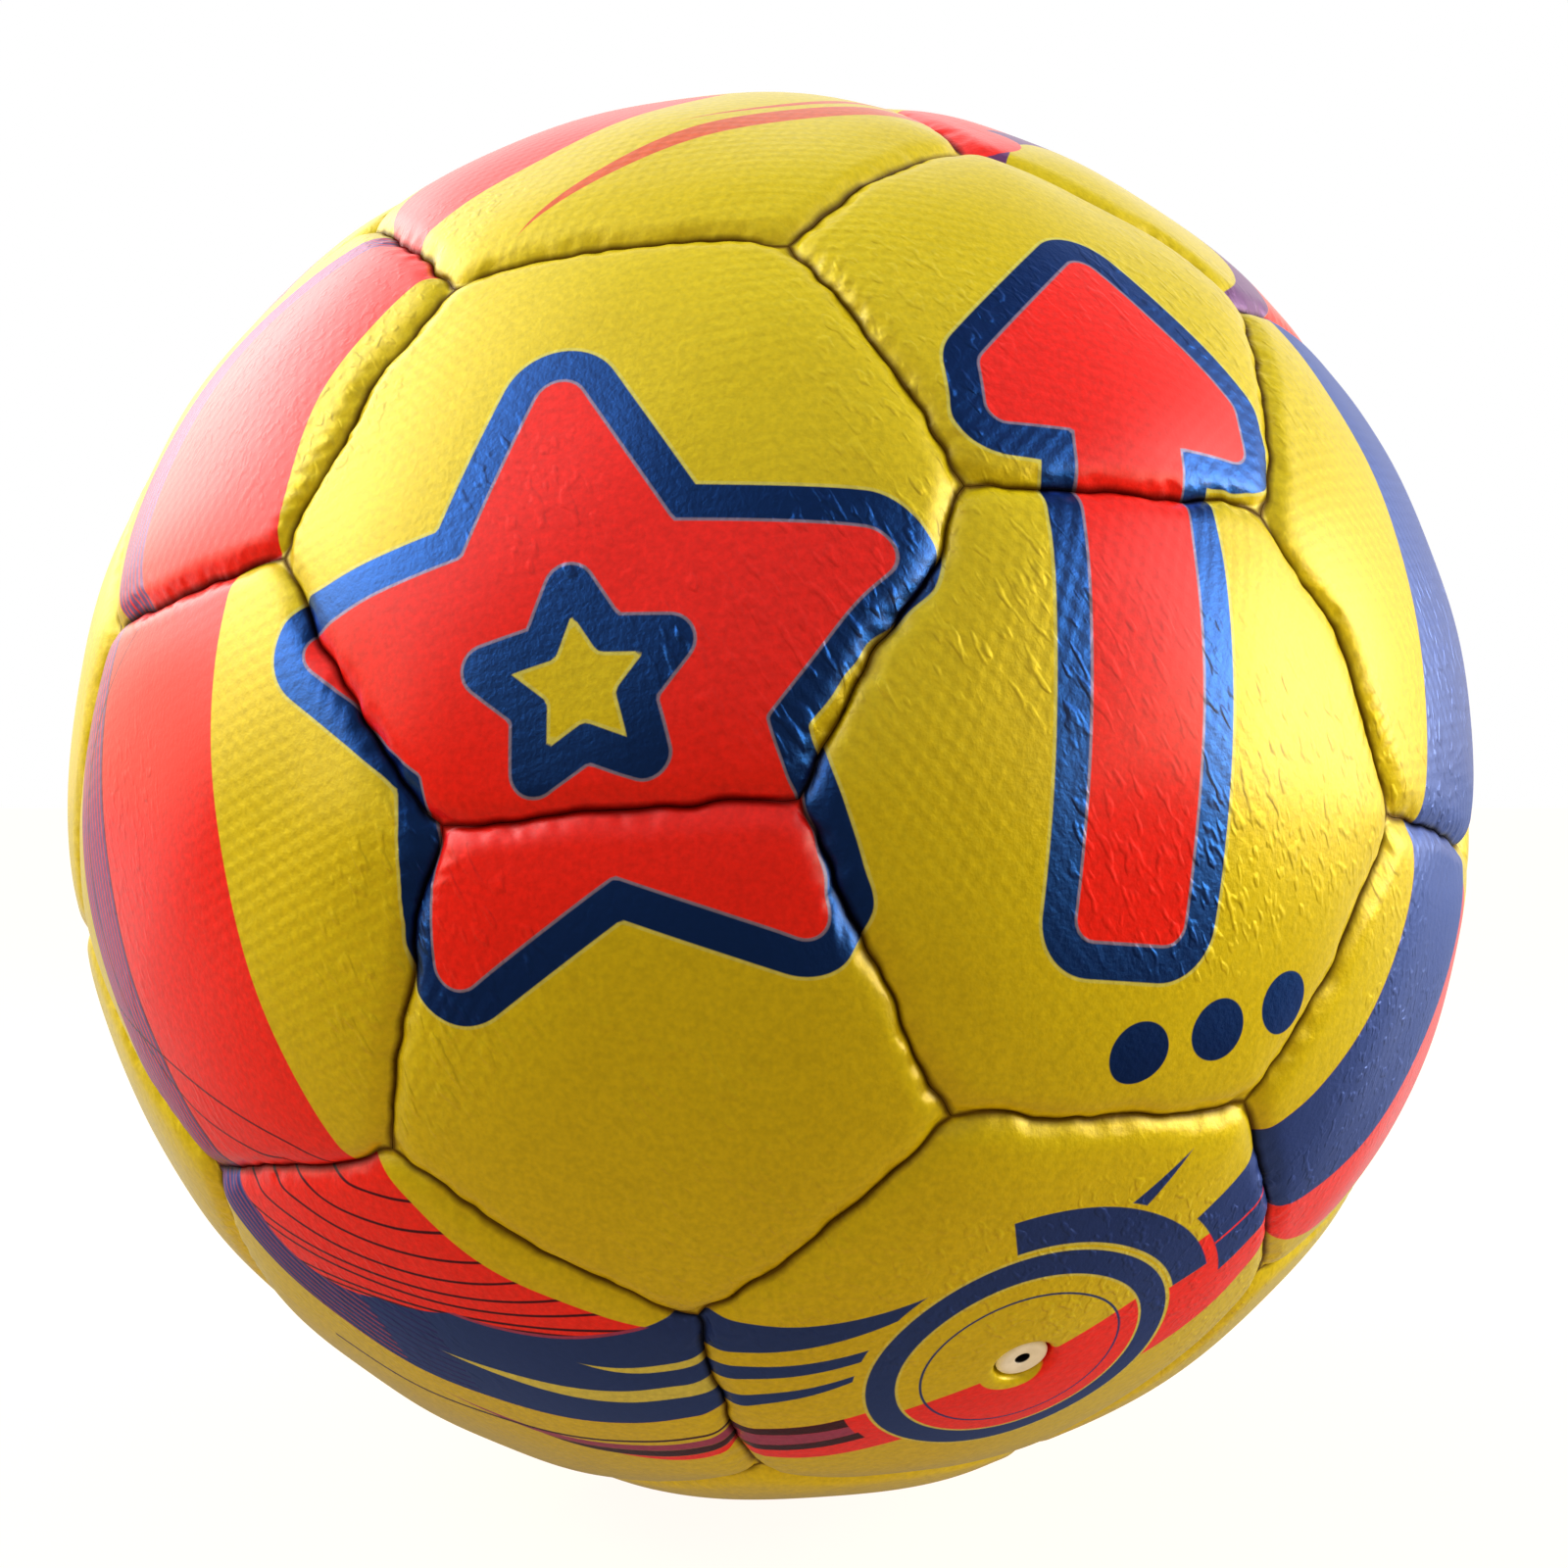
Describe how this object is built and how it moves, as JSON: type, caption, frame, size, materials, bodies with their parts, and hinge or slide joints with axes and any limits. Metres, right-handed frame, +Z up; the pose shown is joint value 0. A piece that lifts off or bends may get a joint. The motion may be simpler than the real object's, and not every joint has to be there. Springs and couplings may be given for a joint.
{
  "type": "futsal ball",
  "caption": "Hand-stitched low-bounce futsal ball of puffy five-sided and six-sided panels over a filled rubber bladder, with a needle valve whose core pulls out.",
  "frame": {"origin": "centre of the ball", "axes": "+Z up and -Y towards the viewer as the ball lies in its picture, +X to the viewer's right; the valve points along (0.302, -0.674, -0.674), below the middle and a little to the right"},
  "size_m": [0.1996, 0.1996, 0.2],
  "materials": {
    "panel_skin": "pearly gold-yellow synthetic leather with a printed stripe design in red and navy, semi-gloss",
    "seam_thread": "waxed polyester thread",
    "bladder_rubber": "smooth black butyl rubber",
    "fibre_filling": "matte white fibre wadding",
    "housing_rubber": "moulded black rubber",
    "core_rubber": "moulded cream-white rubber, satin"
  },
  "bodies": {
    "ball": {"pentagon_panel_01": "panel_skin", "pentagon_panel_02": "panel_skin", "pentagon_panel_03": "panel_skin", "pentagon_panel_04": "panel_skin", "pentagon_panel_05": "panel_skin", "pentagon_panel_06": "panel_skin", "pentagon_panel_07": "panel_skin", "pentagon_panel_08": "panel_skin", "pentagon_panel_09": "panel_skin", "pentagon_panel_10": "panel_skin", "pentagon_panel_11": "panel_skin", "pentagon_panel_12": "panel_skin", "hexagon_panel_01": "panel_skin", "hexagon_panel_02": "panel_skin", "hexagon_panel_03": "panel_skin", "hexagon_panel_04": "panel_skin", "hexagon_panel_05": "panel_skin", "hexagon_panel_06": "panel_skin", "hexagon_panel_07": "panel_skin", "hexagon_panel_08": "panel_skin", "hexagon_panel_09": "panel_skin", "hexagon_panel_10": "panel_skin", "hexagon_panel_11": "panel_skin", "hexagon_panel_12": "panel_skin", "hexagon_panel_13": "panel_skin", "hexagon_panel_14": "panel_skin", "hexagon_panel_15": "panel_skin", "hexagon_panel_16": "panel_skin", "hexagon_panel_17": "panel_skin", "hexagon_panel_18": "panel_skin", "hexagon_panel_19": "panel_skin", "valve_panel": "panel_skin", "seam_thread": "seam_thread", "bladder": "bladder_rubber", "bladder_filling": "fibre_filling", "valve_housing": "housing_rubber"},
    "valve_core": {"valve_core": "core_rubber"}
  },
  "joints": [
    {"name": "valve_core_slide", "type": "slide", "parent": "ball", "child": "valve_core", "axis": [0.3015, -0.6741, -0.6743], "range_m": [0, 0.0185]}
  ]
}
